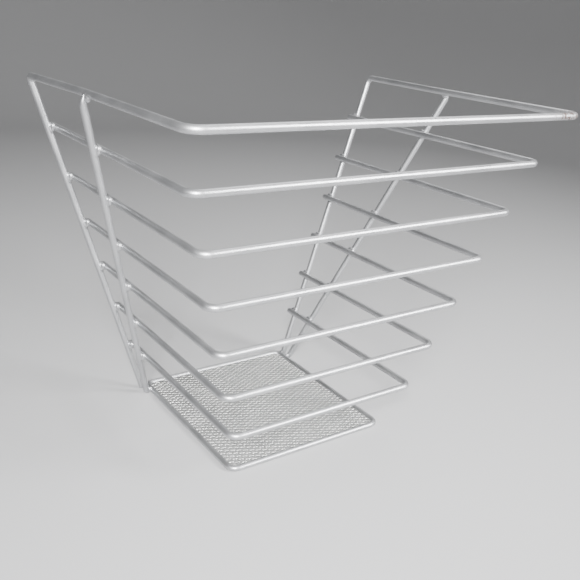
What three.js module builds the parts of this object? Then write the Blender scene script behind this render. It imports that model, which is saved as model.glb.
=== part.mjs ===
// Tiered desktop file sorter of welded steel wire, powder coated silver grey.
// A small tray of expanded metal lies on the desk. Behind it stand two pairs of
// wire struts, and seven U-shaped rails reach forward from them, one above the
// other, each wider and longer than the one below. Files stand in the slots
// between the rails.
// Millimetres. +Z up, +X to the right, -Y to the front (the closed side of the
// rails). The origin is on the desk, under the centre of the whole object.

import * as THREE from 'three';

// ---- driving dimensions ----------------------------------------------------

const WIRE_D = 5;                     // rails, struts and main frame
const BASE_WIRE_D = 4.5;              // the tray's frame
const GAP = 0.3;                      // clearance between neighbouring pieces

const RAILS = 6;                      // separate rails, counted up from the tray
const LOWEST_RAIL_Z = 44.8;           // wire centre above the desk
const RAIL_PITCH = 37.6;
const TOP_Z = 269.2;                  // top of the main frame, at the wire's centre

const STRUT_FOOT_HALF_WIDTH = 74.7;   // strut centres at the desk
const STRUT_LEAN = 0.3;               // outwards, for each millimetre of height
const FRONT_STRUT_FOOT_AHEAD = 9.2;   // ahead of the rear strut at the desk
const FRONT_STRUT_RAKE = 0.36;        // forwards, for each millimetre of height
const STRUT_CUT_Z = 1.3;              // centre of a strut's cut foot
const FRONT_STRUT_TOP_Z = 267.4;      // centre of its cut top, a little lower than the top arm's centre

const LOWEST_REACH = 173.8;           // rear strut to the front of the lowest rail
const REACH_STEP = 9.1;               // each separate rail reaches this much past the one below
const TOP_REACH = 238.5;
const RAIL_END_OVERHANG = 4.5;        // rear strut's centre to the rails' cut ends
const RAIL_CORNER_R = 7.5;            // bends are measured at the wire's centre
const TOP_CORNER_R = 9.5;
const REAR_CORNER_R = 5;              // where the top rail turns down into a rear strut
const FLARE_START_AHEAD = 94;         // the top arms spread from here back to the rear corners
const FLARE_R = 140;

const TRAY_REAR_BEHIND = 2;           // rear strut to the tray's rear wire
const TRAY_DEPTH = 155;
const TRAY_CORNER_R = 7;
const MESH_T = 1;

const WIRE_SIDES = 16;
const BEND_STEP = Math.PI / 16;       // turn from one section of a bend to the next

// ---- derived sizes ---------------------------------------------------------

const wireR = WIRE_D / 2;
const baseWireR = BASE_WIRE_D / 2;
const trayZ = baseWireR * Math.cos(Math.PI / WIRE_SIDES);   // the wire's lowest flat is on the desk
const rearStrutY = (TOP_REACH + wireR - RAIL_END_OVERHANG) / 2;   // centres the object on the origin
const trayRearY = rearStrutY + TRAY_REAR_BEHIND;
const trayFrontY = trayRearY - TRAY_DEPTH;

const strutX = (z) => STRUT_FOOT_HALF_WIDTH + STRUT_LEAN * z;
const frontStrutY = (z) => rearStrutY - FRONT_STRUT_FOOT_AHEAD - FRONT_STRUT_RAKE * z;

// Where a wire of a given radius runs along Y just inside the leaning struts, at height z.
const besideStrutX = (z, radius) => strutX(z) - (wireR + radius + GAP) * Math.hypot(1, STRUT_LEAN);
const trayHalfWidth = besideStrutX(trayZ, baseWireR);
const topArmX = besideStrutX(TOP_Z, wireR);

const v3 = (x, y, z) => new THREE.Vector3(x, y, z);

// ---- materials -------------------------------------------------------------

const powderCoat = new THREE.MeshStandardMaterial({ color: 0x9a9ca0, metalness: 0.6, roughness: 0.42 });
const meshCoat = new THREE.MeshStandardMaterial({ color: 0xa2a39f, metalness: 0.55, roughness: 0.5 });

// ---- bent wire -------------------------------------------------------------

// Centre line of a bent wire. It has a station at each end of the wire and a
// few around each bend, so a straight run is one long segment.
class WirePath extends THREE.Curve {
  constructor(stations) {
    super();
    this.stations = stations;
  }

  stationAt(t) {
    return this.stations[Math.round(t * (this.stations.length - 1))];
  }

  getPointAt(t) {
    return this.stationAt(t).point.clone();
  }

  getTangentAt(t) {
    return this.stationAt(t).tangent.clone();
  }
}

const directionFrom = (a, b) => b.clone().sub(a).normalize();

// Stations of the arc that rounds one corner of a bent wire.
function bendStations(before, corner, after, radius) {
  const inward = directionFrom(before, corner);
  const onward = directionFrom(corner, after);
  const angle = inward.angleTo(onward);
  const side = onward.clone().addScaledVector(inward, -onward.dot(inward)).normalize();
  const start = corner.clone().addScaledVector(inward, -radius * Math.tan(angle / 2));
  const steps = Math.max(2, Math.ceil(angle / BEND_STEP));
  const stations = [];
  for (let i = 0; i <= steps; i++) {
    const turn = (angle * i) / steps;
    const point = start.clone()
      .addScaledVector(inward, radius * Math.sin(turn))
      .addScaledVector(side, radius * (1 - Math.cos(turn)));
    const tangent = inward.clone()
      .multiplyScalar(Math.cos(turn))
      .addScaledVector(side, Math.sin(turn));
    stations.push({ point, tangent });
  }
  return stations;
}

// corners: both ends and the corner points of the wire, in order.
// radii: the bend at each of the corner points between the ends.
function wirePath(corners, radii) {
  const last = corners.length - 1;
  const stations = [{ point: corners[0], tangent: directionFrom(corners[0], corners[1]) }];
  for (let i = 1; i < last; i++) {
    stations.push(...bendStations(corners[i - 1], corners[i], corners[i + 1], radii[i - 1]));
  }
  stations.push({ point: corners[last], tangent: directionFrom(corners[last - 1], corners[last]) });
  return new WirePath(stations);
}

// Round section as a polygon, with a flat rather than an edge at each quarter turn.
function wireSection(radius) {
  const points = [];
  for (let i = 0; i < WIRE_SIDES; i++) {
    const angle = ((i + 0.5) / WIRE_SIDES) * 2 * Math.PI;
    points.push(new THREE.Vector2(radius * Math.cos(angle), radius * Math.sin(angle)));
  }
  return new THREE.Shape(points);
}

function bentWire(corners, radii, radius) {
  const path = wirePath(corners, radii);
  return new THREE.ExtrudeGeometry(wireSection(radius), {
    steps: path.stations.length - 1,
    extrudePath: path,
  });
}

// ---- pieces ----------------------------------------------------------------

// The top rail and both rear struts are one wire. The rail's arms run inside
// the front struts, then spread to the rear corners and turn down.
function mainFrame() {
  const side = (sign) => [
    v3(sign * strutX(STRUT_CUT_Z), rearStrutY, STRUT_CUT_Z),
    v3(sign * strutX(TOP_Z), rearStrutY, TOP_Z),
    v3(sign * topArmX, rearStrutY - FLARE_START_AHEAD, TOP_Z),
    v3(sign * topArmX, rearStrutY - TOP_REACH, TOP_Z),
  ];
  const sideRadii = [REAR_CORNER_R, FLARE_R, TOP_CORNER_R];
  const corners = [...side(-1), ...side(1).reverse()];
  const radii = [...sideRadii, ...sideRadii.slice().reverse()];
  return bentWire(corners, radii, wireR);
}

// U-shaped rail whose arms pass inside both struts and end just behind the rear one.
function rail(number) {
  const z = LOWEST_RAIL_Z + (number - 1) * RAIL_PITCH;
  const x = besideStrutX(z, wireR);
  const rearY = rearStrutY + RAIL_END_OVERHANG;
  const frontY = rearStrutY - LOWEST_REACH - (number - 1) * REACH_STEP;
  const corners = [v3(-x, rearY, z), v3(-x, frontY, z), v3(x, frontY, z), v3(x, rearY, z)];
  return bentWire(corners, [RAIL_CORNER_R, RAIL_CORNER_R], wireR);
}

// Straight wire outside the arms, from the tray's side up to the top rail's arm.
function frontStrut(sign) {
  const at = (z) => v3(sign * strutX(z), frontStrutY(z), z);
  return bentWire([at(STRUT_CUT_Z), at(FRONT_STRUT_TOP_Z)], [], wireR);
}

// Rounded rectangle whose two ends meet in the middle of the rear side.
function baseFrame() {
  const x = trayHalfWidth;
  const z = trayZ;
  const corners = [
    v3(GAP / 2, trayRearY, z),
    v3(x, trayRearY, z),
    v3(x, trayFrontY, z),
    v3(-x, trayFrontY, z),
    v3(-x, trayRearY, z),
    v3(-GAP / 2, trayRearY, z),
  ];
  return bentWire(corners, Array(4).fill(TRAY_CORNER_R), baseWireR);
}

// The expanded metal as the plain sheet that its strands fill, level with the
// middle of the frame's wire.
function meshSheet() {
  const inset = baseWireR + GAP;
  const halfWidth = trayHalfWidth - inset;
  const halfDepth = TRAY_DEPTH / 2 - inset;
  const r = TRAY_CORNER_R - inset;
  const x = halfWidth - r;
  const y = halfDepth - r;
  const outline = new THREE.Shape();
  outline.moveTo(halfWidth, -y);
  outline.absarc(x, y, r, 0, Math.PI / 2);
  outline.absarc(-x, y, r, Math.PI / 2, Math.PI);
  outline.absarc(-x, -y, r, Math.PI, 1.5 * Math.PI);
  outline.absarc(x, -y, r, 1.5 * Math.PI, 2 * Math.PI);
  const sheet = new THREE.ExtrudeGeometry(outline, { depth: MESH_T, bevelEnabled: false, curveSegments: 4 });
  return sheet.translate(0, (trayRearY + trayFrontY) / 2, trayZ - MESH_T / 2);
}

// ---- assembly --------------------------------------------------------------

function piece(name, geometry, material) {
  const mesh = new THREE.Mesh(geometry, material);
  mesh.name = name;
  return mesh;
}

function tray() {
  const group = new THREE.Group();
  group.add(piece('base_frame', baseFrame(), powderCoat));
  group.add(piece('mesh_sheet', meshSheet(), meshCoat));
  return group;
}

function rack() {
  const group = new THREE.Group();
  group.add(piece('main_frame', mainFrame(), powderCoat));
  for (let number = 1; number <= RAILS; number++) {
    group.add(piece(`rail_${number}`, rail(number), powderCoat));
  }
  group.add(piece('front_strut_left', frontStrut(-1), powderCoat));
  group.add(piece('front_strut_right', frontStrut(1), powderCoat));
  return group;
}

const fileSorter = new THREE.Group();
fileSorter.add(tray(), rack());

export default fileSorter;
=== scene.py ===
"""Looks of the wire file sorter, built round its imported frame.

Every wire is swept again as a smooth round bar with rounded cut ends, the tray
gets its real expanded metal, and each crossing gets the weld that fuses it.
Places come from the frame. Lengths are in metres.
"""

import math

import bmesh
import bpy
from mathutils import Matrix, Vector, noise


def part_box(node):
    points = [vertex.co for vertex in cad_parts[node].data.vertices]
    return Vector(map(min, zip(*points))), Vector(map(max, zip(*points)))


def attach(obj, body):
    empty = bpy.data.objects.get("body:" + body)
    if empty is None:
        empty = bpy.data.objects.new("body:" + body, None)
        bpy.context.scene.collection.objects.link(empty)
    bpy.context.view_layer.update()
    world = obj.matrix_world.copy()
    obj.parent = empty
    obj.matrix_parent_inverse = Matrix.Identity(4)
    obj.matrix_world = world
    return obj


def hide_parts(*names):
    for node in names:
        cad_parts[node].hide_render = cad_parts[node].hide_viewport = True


MM = 0.001
SIDES = (("left", -1), ("right", 1))
BACKWARDS = Vector((0, 1, 0))     # along the rails' arms, from their front corners

# ---- sizes that the frame's boxes don't give --------------------------------

FRAME_SIDES = 16                  # the frame's wires are polygons with this many sides
RAIL_BEND = 7.5 * MM              # bend radii, at the wire's centre
TOP_BEND = 9.5 * MM
REAR_BEND = 5.0 * MM
FLARE_BEND = 140 * MM
TRAY_BEND = 7.0 * MM
FLARE_START = 94 * MM             # ahead of the rear struts
BUTT_GAP = 0.3 * MM               # between the two ends of the tray's wire

RING_SIDES = 32                   # sides of a swept wire
RUN_STEP = 6 * MM                 # section spacing on straight runs
BEND_STEP = math.radians(4)
CUT_EDGE = 0.7 * MM               # rounding of a painted wire end
MELT_LENGTH = 6.5 * MM            # taper of a front strut's top
MELT_ABOVE = 1.6 * MM             # how far the taper's tip is above the frame's cut
MELT_SECTIONS = 14

LONG_WAY = 8.8 * MM               # one diamond of the expanded metal, along X
SHORT_WAY = 4.5 * MM              # and along Y
OPENING_LENGTH = 5.2 * MM
OPENING_WIDTH = 2.7 * MM
OPENING_POINTS = 16               # points round one opening; a multiple of four
STRAND_T = 0.9 * MM
STRAND_RISE = 0.25 * MM           # a strand's rear edge is this much higher than its middle

WELD_STUB = 4.2 * MM              # how far a weld follows each wire
WELD_BEHIND = 2.0 * MM            # and an arm behind the strut, where its cut end is near
TRAY_STUB = 3.2 * MM              # and the tray's wire at a strut's foot
WELD_VOXEL = 0.28 * MM
WELD_SMOOTHING = 14
LUMP_SIZE = 2.2 * MM              # unevenness of a weld's surface
LUMP_HEIGHT = 0.12 * MM

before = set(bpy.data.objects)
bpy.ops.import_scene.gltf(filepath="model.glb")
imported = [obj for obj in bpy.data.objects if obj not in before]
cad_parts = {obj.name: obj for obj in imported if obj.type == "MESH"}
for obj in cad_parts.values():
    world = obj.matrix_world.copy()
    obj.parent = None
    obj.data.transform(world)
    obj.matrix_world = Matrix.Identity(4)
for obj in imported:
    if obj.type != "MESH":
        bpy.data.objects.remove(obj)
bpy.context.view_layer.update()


# ---- reading the frame ------------------------------------------------------

def polygon_radius(half_thickness):
    """Radius of the round wire whose polygon is that thick across its flats."""
    return half_thickness / math.cos(math.pi / FRAME_SIDES)


def level_wire(node):
    """Radius and centre-line box of a wire that lies level."""
    low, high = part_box(node)
    flat = (high.z - low.z) / 2
    return {
        "radius": polygon_radius(flat),
        "z": (low.z + high.z) / 2,
        "x": high.x - flat,
        "front": low.y + flat,
        "rear": high.y - flat,
        "end": high.y,
    }


RAILS = {name: level_wire(name) for name in sorted(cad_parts) if name.startswith("rail_")}
LOWEST = RAILS["rail_1"]
HIGHEST = RAILS["rail_6"]
WIRE_R = LOWEST["radius"]
WIRE_FLAT = WIRE_R * math.cos(math.pi / FRAME_SIDES)
LEAN = (HIGHEST["x"] - LOWEST["x"]) / (HIGHEST["z"] - LOWEST["z"])   # outwards, for each metre up

TRAY = level_wire("base_frame")
TRAY_MIDDLE_Y = (TRAY["rear"] + TRAY["front"]) / 2
TRAY_HALF_Y = (TRAY["rear"] - TRAY["front"]) / 2

main_low, main_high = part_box("main_frame")
TOP_Z = main_high.z - WIRE_FLAT
REAR_Y = main_high.y - WIRE_FLAT
TOP_FRONT_Y = main_low.y + WIRE_FLAT
TOP_ARM_X = LOWEST["x"] + LEAN * (TOP_Z - LOWEST["z"])


def rod_ends(node):
    """Foot and top of the centre line of a straight strut on the +X side."""
    low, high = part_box(node)
    size = high - low
    direction = Vector((size.x, -size.y, size.z)).normalized()
    for _ in range(4):
        reach = Vector([WIRE_R * math.sqrt(1 - d * d) for d in direction])
        foot = Vector((low.x + reach.x, high.y - reach.y, low.z + reach.z))
        top = Vector((high.x - reach.x, low.y + reach.y, high.z - reach.z))
        direction = (top - foot).normalized()
    return foot, top


FRONT_FOOT, FRONT_TOP = rod_ends("front_strut_right")
FRONT_LEAN = (FRONT_TOP - FRONT_FOOT).normalized()
REAR_LEAN = Vector((LEAN, 0, 1)).normalized()
STRUT_FOOT_X = FRONT_FOOT.x - LEAN * FRONT_FOOT.z


def on_front_strut(z):
    """Point of the +X front strut's centre line at a height."""
    share = (z - FRONT_FOOT.z) / (FRONT_TOP.z - FRONT_FOOT.z)
    return FRONT_FOOT.lerp(FRONT_TOP, share)


def on_rear_strut(z):
    """Point of the +X rear strut's centre line at a height."""
    return Vector((STRUT_FOOT_X + LEAN * z, REAR_Y, z))


def mirrored(vector, side):
    return Vector((side * vector.x, vector.y, vector.z))


# ---- mesh helpers -----------------------------------------------------------

def mesh_object(name, vertices, faces, material):
    mesh = bpy.data.meshes.new(name)
    mesh.from_pydata([tuple(v) for v in vertices], [], faces)
    mesh.materials.append(material)
    mesh.shade_smooth()
    obj = bpy.data.objects.new(name, mesh)
    bpy.context.scene.collection.objects.link(obj)
    return obj


def circle(centre, normal, across, radius, sides):
    """Points round a circle in the plane of two unit vectors at right angles."""
    angles = [2 * math.pi * k / sides for k in range(sides)]
    return [centre + (normal * math.cos(a) + across * math.sin(a)) * radius for a in angles]


def band_faces(start, rings, sides):
    """Quads between neighbouring rings of vertices, which are numbered from start."""
    faces = []
    for i in range(rings - 1):
        a, b = start + i * sides, start + (i + 1) * sides
        for k in range(sides):
            n = (k + 1) % sides
            faces.append((a + k, a + n, b + n, b + k))
    return faces


def fan_faces(hub, ring, sides):
    """Triangles between a middle vertex and the ring that starts at a vertex."""
    return [(hub, ring + k, ring + (k + 1) % sides) for k in range(sides)]


def flipped(faces):
    return [face[::-1] for face in faces]


def stands_for(piece, node):
    """The piece is seen instead of the frame's node."""
    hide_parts(node)
    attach(piece, "root")


# ---- wires ------------------------------------------------------------------

def straight_stations(start, end):
    """Points from start to end, with the end left out."""
    steps = max(1, round((end - start).length / RUN_STEP))
    direction = (end - start).normalized()
    return [(start.lerp(end, i / steps), direction) for i in range(steps)]


def bend_stations(before, corner, after, radius):
    """Points and directions round the arc that replaces one corner."""
    inward = (corner - before).normalized()
    onward = (after - corner).normalized()
    angle = inward.angle(onward)
    side = (onward - inward * onward.dot(inward)).normalized()
    start = corner - inward * radius * math.tan(angle / 2)
    steps = max(2, math.ceil(angle / BEND_STEP))
    stations = []
    for i in range(steps + 1):
        turn = angle * i / steps
        point = start + inward * radius * math.sin(turn) + side * radius * (1 - math.cos(turn))
        stations.append((point, inward * math.cos(turn) + side * math.sin(turn)))
    return stations


def wire_stations(corners, radii):
    """Points and directions along a bent wire, from one cut end to the other."""
    stations = []
    last_point = corners[0]
    for i, radius in enumerate(radii, start=1):
        bend = bend_stations(corners[i - 1], corners[i], corners[i + 1], radius)
        stations += straight_stations(last_point, bend[0][0])
        stations += bend[:-1]
        last_point = bend[-1][0]
    stations += straight_stations(last_point, corners[-1])
    stations.append((corners[-1], (corners[-1] - corners[-2]).normalized()))
    return stations


# A section is (centre, direction, radius). A wire is swept through a list of them.

def cut_end_sections(end, direction, inward, radius):
    """From the middle of a cut end to the full wire. inward is 1 or -1, along the direction."""
    flat = radius - CUT_EDGE
    sections = [(end, direction, flat * 0.5)]
    for degrees in (0, 22.5, 45, 67.5):
        turn = math.radians(degrees)
        centre = end + direction * inward * CUT_EDGE * (1 - math.cos(turn))
        sections.append((centre, direction, flat + CUT_EDGE * math.sin(turn)))
    return sections


def run_sections(stations, radius):
    """The full wire, between its rounded ends."""
    start, first = stations[0]
    end, last = stations[-1]
    middle = [(point, direction, radius) for point, direction in stations[1:-1]]
    return [(start + first * CUT_EDGE, first, radius)] + middle + [(end - last * CUT_EDGE, last, radius)]


def melted_sections(end, direction, toward, radius):
    """Tapers a strut's top to a blunt tip on the side of the arm it is welded to."""
    sections = []
    for i in range(MELT_SECTIONS):
        share = i / (MELT_SECTIONS - 1)
        section_radius = radius * max(0.06, 1 - share ** 1.7)
        centre = end + direction * (MELT_ABOVE - MELT_LENGTH * (1 - share))
        centre += toward * (radius - section_radius) * 0.75
        sections.append((centre, direction, section_radius))
    return sections


def sweep(name, sections, material):
    """Round wire through its sections, closed at both ends."""
    normal = sections[0][1].orthogonal().normalized()
    vertices = []
    for centre, direction, radius in sections:
        normal = (normal - direction * normal.dot(direction)).normalized()
        vertices += circle(centre, normal, direction.cross(normal), radius, RING_SIDES)
    faces = band_faces(0, len(sections), RING_SIDES)
    first_hub = len(vertices)
    vertices += [sections[0][0], sections[-1][0]]
    faces += flipped(fan_faces(first_hub, 0, RING_SIDES))
    faces += fan_faces(first_hub + 1, first_hub - RING_SIDES, RING_SIDES)
    return mesh_object(name, vertices, faces, material)


def add_wire(node, corners, radii, radius, material):
    """Sweeps a bent wire with two rounded cut ends in place of the frame's node."""
    stations = wire_stations(corners, radii)
    sections = cut_end_sections(*stations[0], 1, radius)
    sections += run_sections(stations, radius)
    sections += cut_end_sections(*stations[-1], -1, radius)[::-1]
    stands_for(sweep("wire_" + node, sections, material), node)


def add_rail(node, material):
    size = RAILS[node]
    x, z = size["x"], size["z"]
    corners = [
        Vector((-x, size["end"], z)),
        Vector((-x, size["front"], z)),
        Vector((x, size["front"], z)),
        Vector((x, size["end"], z)),
    ]
    add_wire(node, corners, [RAIL_BEND, RAIL_BEND], WIRE_R, material)


def add_main_frame(material):
    """Rear struts and top rail, one wire: up, forward, across, back and down."""
    half = [
        on_rear_strut(FRONT_FOOT.z),
        on_rear_strut(TOP_Z),
        Vector((TOP_ARM_X, REAR_Y - FLARE_START, TOP_Z)),
        Vector((TOP_ARM_X, TOP_FRONT_Y, TOP_Z)),
    ]
    corners = [mirrored(p, -1) for p in half] + half[::-1]
    radii = [REAR_BEND, FLARE_BEND, TOP_BEND]
    add_wire("main_frame", corners, radii + radii[::-1], WIRE_R, material)


def add_front_struts(material):
    for side_name, side in SIDES:
        node = f"front_strut_{side_name}"
        foot, top = mirrored(FRONT_FOOT, side), mirrored(FRONT_TOP, side)
        direction = (top - foot).normalized()
        toward = (Vector((-side, 0, 0)) + direction * side * direction.x).normalized()
        stations = wire_stations([foot, top - direction * MELT_LENGTH], [])
        sections = cut_end_sections(foot, direction, 1, WIRE_R)
        sections += run_sections(stations, WIRE_R)
        sections += melted_sections(top, direction, toward, WIRE_R)
        stands_for(sweep("wire_" + node, sections, material), node)


def add_base_frame(material):
    """The tray's wire. Its two ends meet in the middle of the rear side."""
    x, z = TRAY["x"], TRAY["z"]
    front, rear = TRAY["front"], TRAY["rear"]
    corners = [
        Vector((BUTT_GAP / 2, rear, z)),
        Vector((x, rear, z)),
        Vector((x, front, z)),
        Vector((-x, front, z)),
        Vector((-x, rear, z)),
        Vector((-BUTT_GAP / 2, rear, z)),
    ]
    add_wire("base_frame", corners, [TRAY_BEND] * 4, TRAY["radius"], material)


# ---- expanded metal ---------------------------------------------------------

def diamond_outline():
    """Corner-to-corner points round one cell, counter-clockwise from its +X corner."""
    corners = [
        Vector((LONG_WAY / 2, 0, 0)),
        Vector((0, SHORT_WAY / 2, 0)),
        Vector((-LONG_WAY / 2, 0, 0)),
        Vector((0, -SHORT_WAY / 2, 0)),
    ]
    per_side = OPENING_POINTS // 4
    points = []
    for i, corner in enumerate(corners):
        following = corners[(i + 1) % 4]
        points += [corner.lerp(following, k / per_side) for k in range(per_side)]
    return points


def opening_outline():
    """Lens-shaped opening with softly rounded ends, one point for each cell point."""
    points = []
    for i in range(OPENING_POINTS):
        angle = 2 * math.pi * i / OPENING_POINTS
        x = math.copysign(abs(math.cos(angle)) ** 0.92, math.cos(angle))
        y = math.copysign(abs(math.sin(angle)) ** 1.12, math.sin(angle))
        points.append(Vector((x * OPENING_LENGTH / 2, y * OPENING_WIDTH / 2, 0)))
    return points


def strand_rings():
    """Rings of one cell's skin, from its border over the top edge into the opening and back below."""
    border, opening = diamond_outline(), opening_outline()
    shares = [(0.0, 1.0), (0.75, 1.0), (1.0, 0.5)]
    shares += [(share, -lift) for share, lift in reversed(shares)]
    rings = []
    for share, lift in shares:
        ring = []
        for outer, inner in zip(border, opening):
            tilt = -STRAND_RISE * share * inner.y / (OPENING_WIDTH / 2)
            ring.append(outer.lerp(inner, share) + Vector((0, 0, tilt + lift * STRAND_T / 2)))
        rings.append(ring)
    return rings


def into_tray(point):
    """Moves a point that lies outside the centre line of the tray's wire onto it."""
    x, y = point.x, point.y - TRAY_MIDDLE_Y
    core_x, core_y = TRAY["x"] - TRAY_BEND, TRAY_HALF_Y - TRAY_BEND
    over_x, over_y = max(0.0, abs(x) - core_x), max(0.0, abs(y) - core_y)
    reach = math.hypot(over_x, over_y)
    if reach <= TRAY_BEND:
        return point
    scale = TRAY_BEND / reach
    x = math.copysign(min(abs(x), core_x) + over_x * scale, x)
    y = math.copysign(min(abs(y), core_y) + over_y * scale, y)
    return Vector((x, y + TRAY_MIDDLE_Y, point.z))


def cell_centres():
    """Middles of the diamonds that reach into the tray, row by row."""
    columns = math.ceil(2 * TRAY["x"] / LONG_WAY) + 1
    rows = math.ceil(2 * TRAY_HALF_Y / SHORT_WAY) + 1
    centres = []
    for row in range(-rows, rows + 1):
        for column in range(-columns, columns + 1):
            x, y = column * LONG_WAY / 2, row * SHORT_WAY / 2
            in_step = (row + column) % 2 == 0
            near = abs(x) <= TRAY["x"] + LONG_WAY / 2 and abs(y) <= TRAY_HALF_Y + SHORT_WAY / 2
            if in_step and near:
                centres.append(Vector((x, TRAY_MIDDLE_Y + y, TRAY["z"])))
    return centres


def add_mesh_sheet(material):
    """Expanded metal cell by cell, its rim squeezed into the tray's wire."""
    rings = strand_rings()
    vertices, faces = [], []
    for centre in cell_centres():
        faces += band_faces(len(vertices), len(rings), OPENING_POINTS)
        for ring in rings:
            vertices += [into_tray(centre + point) for point in ring]
    piece = mesh_object("expanded_metal", vertices, faces, material)
    weld_vertices(piece, 0.01 * MM)
    stands_for(piece, "mesh_sheet")


def weld_vertices(piece, distance):
    """Joins neighbouring cells along their borders and drops the faces squeezed flat at the rim."""
    bm = bmesh.new()
    bm.from_mesh(piece.data)
    bmesh.ops.remove_doubles(bm, verts=bm.verts, dist=distance)
    bmesh.ops.dissolve_degenerate(bm, edges=bm.edges, dist=distance)
    bm.to_mesh(piece.data)
    bm.free()


# ---- parts of a weld --------------------------------------------------------

def capsule(axis_point, direction, radius, before, after):
    """Closed stub of wire round a point on its centre line, as (vertices, faces)."""
    sides = 20
    normal = direction.orthogonal().normalized()
    across = direction.cross(normal)
    blunt = radius * 0.4
    rings = [(-before - blunt, 0.6), (-before, 0.985), (after, 0.985), (after + blunt, 0.6)]
    vertices = []
    for along, share in rings:
        vertices += circle(axis_point + direction * along, normal, across, radius * share, sides)
    faces = band_faces(0, len(rings), sides)
    faces.append(tuple(reversed(range(sides))))
    faces.append(tuple(range(len(vertices) - sides, len(vertices))))
    return vertices, faces


def lump(centre, axes, radii):
    """Uneven ellipsoid, as (vertices, faces). axes are three unit vectors at right angles."""
    bands, sides = 14, 20
    vertices = []
    for i in range(1, bands):
        polar = math.pi * i / bands
        for k in range(sides):
            angle = 2 * math.pi * k / sides
            unit = (math.sin(polar) * math.cos(angle), math.sin(polar) * math.sin(angle), math.cos(polar))
            offset = Vector((0, 0, 0))
            for axis, radius, share in zip(axes, radii, unit):
                offset += axis * radius * share
            rise = LUMP_HEIGHT * noise.noise((centre + offset) / LUMP_SIZE)
            vertices.append(centre + offset + offset.normalized() * rise)
    top = len(vertices)
    vertices += [centre + axes[2] * radii[2], centre - axes[2] * radii[2]]
    faces = flipped(band_faces(0, bands - 1, sides))
    faces += fan_faces(top, 0, sides)
    faces += flipped(fan_faces(top + 1, top - sides, sides))
    return vertices, faces


def contact_axes(point_a, direction_a, point_b, direction_b):
    """Three unit vectors at right angles: two in the plane between the wires, one across it."""
    across = (point_b - point_a).normalized()
    along = direction_a + direction_b
    along = (along - across * along.dot(across)).normalized()
    return along, across.cross(along), across


def fuse(name, parts, material):
    """Melts closed parts into one lump of weld metal with filleted corners."""
    vertices, faces = [], []
    for part_vertices, part_faces in parts:
        start = len(vertices)
        vertices += part_vertices
        faces += [tuple(start + i for i in face) for face in part_faces]
    piece = mesh_object(name, vertices, faces, material)
    remesh = piece.modifiers.new("remesh", "REMESH")
    remesh.mode = "VOXEL"
    remesh.voxel_size = WELD_VOXEL
    smooth = piece.modifiers.new("smooth", "SMOOTH")
    smooth.factor = 0.6
    smooth.iterations = WELD_SMOOTHING
    evaluated = piece.evaluated_get(bpy.context.evaluated_depsgraph_get())
    fused = bpy.data.meshes.new_from_object(evaluated)
    piece.modifiers.clear()
    piece.data = fused
    fused.shade_smooth()
    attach(piece, "root")


# ---- welds ------------------------------------------------------------------

def crossing_weld(name, arm, strut, lean, material):
    """Weld where an arm passes inside a strut: stubs of both, and the metal squeezed out between them."""
    axes = contact_axes(arm, BACKWARDS, strut, lean)
    contact = (arm + strut) / 2
    bead = contact - BACKWARDS * 2.3 * MM + Vector((0, 0, 1.1 * MM))
    parts = [
        capsule(arm, BACKWARDS, WIRE_R, WELD_STUB, WELD_BEHIND),
        capsule(strut, lean, WIRE_R, WELD_STUB, WELD_STUB),
        lump(contact, axes, (3.9 * MM, 3.9 * MM, 2.1 * MM)),
        lump(bead, axes, (2.2 * MM, 2.4 * MM, 1.7 * MM)),
    ]
    fuse(name, parts, material)


def add_crossing_welds(material):
    for side_name, side in SIDES:
        for node, size in RAILS.items():
            number = node.split("_")[1]
            struts = (
                ("rear", on_rear_strut(size["z"]), REAR_LEAN),
                ("front", on_front_strut(size["z"]), FRONT_LEAN),
            )
            for place, strut, lean in struts:
                arm = Vector((size["x"], strut.y, size["z"]))
                vectors = [mirrored(v, side) for v in (arm, strut, lean)]
                crossing_weld(f"weld_{side_name}_{place}_{number}", *vectors, material)


def top_weld(name, arm, end, lean, material):
    """Cap of weld over a front strut's melted top, beside the top rail's arm."""
    axes = contact_axes(arm, BACKWARDS, end, lean)
    contact = arm.lerp(end, 0.45) - lean * 1.5 * MM
    bead = contact - Vector((0, 2.2 * MM, -0.5 * MM))
    parts = [
        capsule(arm, BACKWARDS, WIRE_R, WELD_STUB, WELD_STUB),
        capsule(end - lean * MELT_LENGTH, lean, WIRE_R, 2.0 * MM, 0.5 * MM),
        lump(contact, axes, (3.4 * MM, 3.2 * MM, 2.0 * MM)),
        lump(bead, axes, (2.0 * MM, 1.9 * MM, 1.6 * MM)),
    ]
    fuse(name, parts, material)


def add_top_welds(material):
    arm = Vector((TOP_ARM_X, FRONT_TOP.y, TOP_Z))
    for side_name, side in SIDES:
        vectors = [mirrored(v, side) for v in (arm, FRONT_TOP, FRONT_LEAN)]
        top_weld(f"weld_{side_name}_front_top", *vectors, material)


def foot_weld(name, wire, wire_direction, foot, lean, material):
    """Weld of a strut's foot on the tray's wire, with a bead on the upper side."""
    axes = contact_axes(wire, wire_direction, foot, lean)
    contact = wire.lerp(foot, 0.47) + Vector((0, 0, 0.3 * MM))
    bead = wire.lerp(foot, 0.45) + Vector((0, -1.0 * MM, 1.5 * MM))
    parts = [
        capsule(wire, wire_direction, TRAY["radius"], TRAY_STUB, TRAY_STUB),
        capsule(foot, lean, WIRE_R, 0.2 * MM, WELD_STUB),
        lump(contact, axes, (2.6 * MM, 1.9 * MM, 1.9 * MM)),
        lump(bead, axes, (1.9 * MM, 1.9 * MM, 1.7 * MM)),
    ]
    fuse(name, parts, material)


def tray_corner_point(strut_point):
    """Point and direction of the tray's wire where its rounded rear corner comes nearest a rear strut."""
    hub = Vector((TRAY["x"] - TRAY_BEND, TRAY["rear"] - TRAY_BEND, TRAY["z"]))
    outward = (strut_point - hub).normalized()
    return hub + outward * TRAY_BEND, Vector((-outward.y, outward.x, 0))


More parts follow.
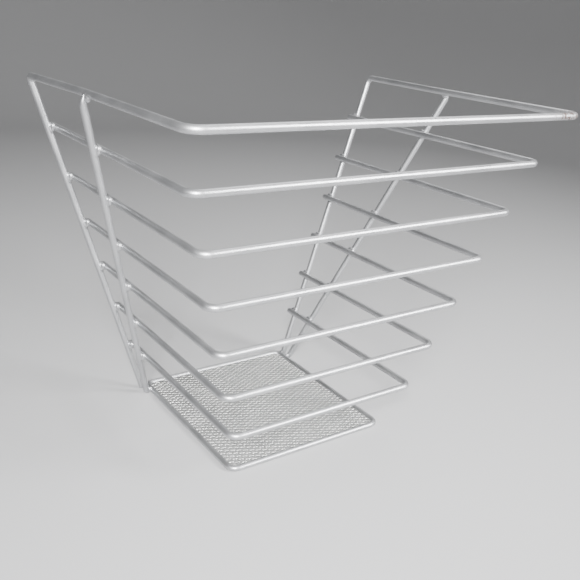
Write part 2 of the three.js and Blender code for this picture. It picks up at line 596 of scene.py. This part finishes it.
def add_foot_welds(material):
    front, rear = on_front_strut(TRAY["z"]), on_rear_strut(TRAY["z"])
    side_wire = Vector((TRAY["x"], front.y, TRAY["z"]))
    corner, corner_direction = tray_corner_point(rear)
    feet = (
        ("front", (side_wire, BACKWARDS, front, FRONT_LEAN)),
        ("rear", (corner, corner_direction, rear, REAR_LEAN)),
    )
    for side_name, side in SIDES:
        for place, contact in feet:
            vectors = [mirrored(v, side) for v in contact]
            foot_weld(f"weld_{side_name}_{place}_foot", *vectors, material)


def add_butt_weld(material):
    """Collar that joins the two ends of the tray's wire."""
    joint = Vector((0, TRAY["rear"], TRAY["z"]))
    axes = (Vector((0, 1, 0)), Vector((0, 0, 1)), Vector((1, 0, 0)))
    radius = TRAY["radius"]
    parts = [
        capsule(joint, axes[2], radius, 2.6 * MM, 2.6 * MM),
        lump(joint, axes, (radius + 0.4 * MM, radius + 0.15 * MM, 1.7 * MM)),
    ]
    fuse("weld_tray_rear", parts, material)


# ---- materials --------------------------------------------------------------

SPECK_COLOUR = (0.24, 0.23, 0.22)
RUST_COLOUR = (0.06, 0.034, 0.027)
WORN_FROM_CORNER = 11 * MM        # middle of the rubbed patch, along the top rail's front wire
WORN_FULL = 10 * MM               # the flecks are full this near its middle
WORN_END = 24 * MM                # and gone this far from it


class Nodes:
    """Small helper that adds and links shader nodes."""

    def __init__(self, name):
        self.material = bpy.data.materials.new(name)
        self.material.use_nodes = True
        self.tree = self.material.node_tree
        self.shader = self.tree.nodes["Principled BSDF"]
        self.place = self.tree.nodes.new("ShaderNodeTexCoord").outputs["Object"]

    def link(self, output, target):
        self.tree.links.new(output, target)

    def noise(self, size, detail=2.0, roughness=0.5):
        """Noise whose features are about that size, in metres."""
        node = self.tree.nodes.new("ShaderNodeTexNoise")
        node.inputs["Scale"].default_value = 1 / size
        node.inputs["Detail"].default_value = detail
        node.inputs["Roughness"].default_value = roughness
        self.link(self.place, node.inputs["Vector"])
        return node.outputs["Fac"]

    def distance(self, point):
        """Distance in metres from a fixed point."""
        node = self.tree.nodes.new("ShaderNodeVectorMath")
        node.operation = "DISTANCE"
        self.link(self.place, node.inputs[0])
        node.inputs[1].default_value = point
        return node.outputs["Value"]

    def specks(self, size, reach):
        """1 in small round specks on a grid of that size, 0 elsewhere."""
        node = self.tree.nodes.new("ShaderNodeTexVoronoi")
        node.inputs["Scale"].default_value = 1 / size
        self.link(self.place, node.inputs["Vector"])
        return self.remap(node.outputs["Distance"], reach, reach * 0.5, 0.0, 1.0)

    def remap(self, value, low, high, to_low, to_high):
        """Maps low..high to to_low..to_high, clamped."""
        node = self.tree.nodes.new("ShaderNodeMapRange")
        numbers = {"From Min": low, "From Max": high, "To Min": to_low, "To Max": to_high}
        for socket, number in numbers.items():
            node.inputs[socket].default_value = number
        self.link(value, node.inputs["Value"])
        return node.outputs["Result"]

    def maths(self, operation, a, b):
        """Each of a and b is a number or an output."""
        node = self.tree.nodes.new("ShaderNodeMath")
        node.operation = operation
        for socket, value in zip(node.inputs, (a, b)):
            if isinstance(value, (int, float)):
                socket.default_value = value
            else:
                self.link(value, socket)
        return node.outputs["Value"]

    def mix(self, share, colour_a, colour_b):
        """Colour between a and b. Each is a tuple or an output."""
        node = self.tree.nodes.new("ShaderNodeMix")
        node.data_type = "RGBA"
        first, second, result = node.inputs[6], node.inputs[7], node.outputs[2]   # its colour sockets
        self.link(share, node.inputs["Factor"])
        for socket, colour in ((first, colour_a), (second, colour_b)):
            if isinstance(colour, tuple):
                socket.default_value = (*colour, 1.0)
            else:
                self.link(colour, socket)
        return result

    def bump(self, height, distance, under=None):
        """Normal of a surface raised by height times distance, on top of another bump."""
        node = self.tree.nodes.new("ShaderNodeBump")
        node.inputs["Distance"].default_value = distance
        self.link(height, node.inputs["Height"])
        if under is not None:
            self.link(under, node.inputs["Normal"])
        return node.outputs["Normal"]


def silver_coat(name, dark, light, roughness, peel_height):
    """Silver powder coat: orange peel, metallic grain, tone drift, a few specks and one rubbed corner."""
    n = Nodes(name)
    drift = n.noise(24 * MM, detail=3)
    grain = n.noise(0.28 * MM, detail=2, roughness=0.7)
    peel = n.noise(1.3 * MM, detail=2)
    specks = n.specks(5 * MM, 0.09)
    worn = worn_share(n)

    tone = n.maths("ADD", n.remap(drift, 0.35, 0.65, 0.0, 0.5), n.remap(grain, 0.35, 0.65, 0.0, 0.5))
    coat = n.mix(tone, dark, light)
    coat = n.mix(n.maths("MULTIPLY", specks, 0.5), coat, SPECK_COLOUR)
    n.link(n.mix(worn, coat, RUST_COLOUR), n.shader.inputs["Base Color"])
    n.link(n.remap(worn, 0.0, 1.0, 0.93, 0.1), n.shader.inputs["Metallic"])

    rough = n.maths("ADD", n.remap(drift, 0.3, 0.7, -0.04, 0.05), n.remap(grain, 0.3, 0.7, -0.05, 0.05))
    rough = n.maths("ADD", rough, n.remap(worn, 0.0, 1.0, roughness, roughness + 0.2))
    n.link(rough, n.shader.inputs["Roughness"])

    normal = n.bump(peel, peel_height)
    normal = n.bump(grain, 0.012 * MM, under=normal)
    normal = n.bump(worn, -0.1 * MM, under=normal)
    n.link(normal, n.shader.inputs["Normal"])
    n.shader.inputs["Coat Weight"].default_value = 0.15
    n.shader.inputs["Coat Roughness"].default_value = 0.34
    return n.material


def worn_share(n):
    """1 in the flecks where the coat is rubbed off, near the top rail's right front corner."""
    middle = (TOP_ARM_X - WORN_FROM_CORNER, TOP_FRONT_Y, TOP_Z)
    near = n.remap(n.distance(middle), WORN_FULL, WORN_END, 1.0, 0.0)
    flecks = n.remap(n.noise(2.6 * MM, detail=4, roughness=0.7), 0.47, 0.56, 0.0, 1.0)
    return n.maths("MULTIPLY", near, flecks)


def floor_material():
    """Pale round the object and a little darker towards the wall."""
    n = Nodes("pale_floor")
    share = n.remap(n.distance((0.0, 0.0, 0.0)), 0.6, 2.3, 0.0, 1.0)
    floor = n.mix(share, (0.355, 0.355, 0.359), (0.33, 0.33, 0.334))
    n.link(floor, n.shader.inputs["Base Color"])
    n.shader.inputs["Roughness"].default_value = 0.6
    return n.material


# ---- stage, light and camera ------------------------------------------------

def add_floor():
    """Round floor that curves up into a plain wall on every side."""
    flat, bend, height, segments = 1.5, 0.9, 3.0, 96
    arc = [math.radians(a) for a in range(0, 91, 5)]
    profile = [(flat + bend * math.sin(a), bend * (1 - math.cos(a))) for a in arc]
    profile.append((flat + bend, height))
    right, back = Vector((1, 0, 0)), Vector((0, 1, 0))
    vertices = [Vector((0, 0, 0))]
    for radius, z in profile:
        vertices += circle(Vector((0, 0, z)), right, back, radius, segments)
    faces = fan_faces(0, 1, segments)
    faces += flipped(band_faces(1, len(profile), segments))
    mesh_object("floor", vertices, faces, floor_material())


def add_area_light(name, place, target, size, power, spread=180):
    """Square light, size metres wide, aimed at the target. spread is its cone in degrees."""
    data = bpy.data.lights.new(name, "AREA")
    data.shape = "SQUARE"
    data.size = size
    data.energy = power
    data.spread = math.radians(spread)
    lamp = bpy.data.objects.new(name, data)
    lamp.location = place
    lamp.rotation_euler = (Vector(target) - Vector(place)).to_track_quat("-Z", "Y").to_euler()
    bpy.context.scene.collection.objects.link(lamp)


def add_world(strength):
    world = bpy.data.worlds.new("studio")
    world.use_nodes = True
    background = world.node_tree.nodes["Background"]
    background.inputs["Color"].default_value = (0.97, 0.98, 1.0, 1)
    background.inputs["Strength"].default_value = strength
    bpy.context.scene.world = world


def add_lights():
    """A key beside the camera for the struts, one to its right that runs along the rails,
    a dim overhead, and a wide ceiling light for the floor and the wall."""
    aim = (0.02, 0.0, 0.13)
    add_area_light("key", (-0.55, -0.75, 0.62), aim, 0.28, 16, spread=100)
    add_area_light("front", (0.72, -0.92, 0.72), aim, 0.4, 14, spread=100)
    add_area_light("overhead", (0.75, 0.45, 1.25), aim, 0.9, 9)
    add_area_light("ceiling", (0.0, -0.7, 2.7), (0.0, -0.7, 0.0), 3.0, 24)
    add_world(0.09)


def add_camera():
    """Above the left front corner, tilted a little, as a hand-held camera would be."""
    place = Vector((-0.3105, -0.4423, 0.3268))
    target = Vector((0.0, -0.0288, 0.1307))
    roll = math.radians(4.12)
    data = bpy.data.cameras.new("camera")
    data.lens = 46.3
    data.sensor_width = 36.0
    data.shift_x, data.shift_y = -0.0437, 0.0034
    camera = bpy.data.objects.new("camera", data)
    forward = (target - place).normalized()
    level_right = forward.cross(Vector((0, 0, 1))).normalized()
    level_up = level_right.cross(forward)
    right = level_right * math.cos(roll) + level_up * math.sin(roll)
    up = right.cross(forward)
    turn = Matrix((right, up, -forward)).transposed()
    camera.matrix_world = Matrix.Translation(place) @ turn.to_4x4()
    bpy.context.scene.collection.objects.link(camera)
    bpy.context.scene.camera = camera


# ---- build ------------------------------------------------------------------

wire_coat = silver_coat(
    "silver_coat",
    dark=(0.37, 0.375, 0.385),
    light=(0.50, 0.505, 0.515),
    roughness=0.42,
    peel_height=0.02 * MM,
)
# The expanded metal's coat is the wires' paint made lighter and warmer: a painted highlight, so the
# strands read brighter than the floor seen through the openings.
mesh_coat_painted_highlight = silver_coat(
    "silver_coat_mesh_painted_highlight",
    dark=(0.42, 0.42, 0.412),
    light=(0.56, 0.56, 0.55),
    roughness=0.38,
    peel_height=0.015 * MM,
)
# The welds' coat is the wires' paint made a little lighter: a painted highlight on the weld beads.
weld_coat_painted_highlight = silver_coat(
    "silver_coat_weld_painted_highlight",
    dark=(0.385, 0.39, 0.40),
    light=(0.52, 0.525, 0.535),
    roughness=0.40,
    peel_height=0.02 * MM,
)

for rail in RAILS:
    add_rail(rail, wire_coat)
add_main_frame(wire_coat)
add_front_struts(wire_coat)
add_base_frame(wire_coat)
add_mesh_sheet(mesh_coat_painted_highlight)

add_crossing_welds(weld_coat_painted_highlight)
add_top_welds(weld_coat_painted_highlight)
add_foot_welds(weld_coat_painted_highlight)
add_butt_weld(weld_coat_painted_highlight)

add_floor()
add_lights()
add_camera()
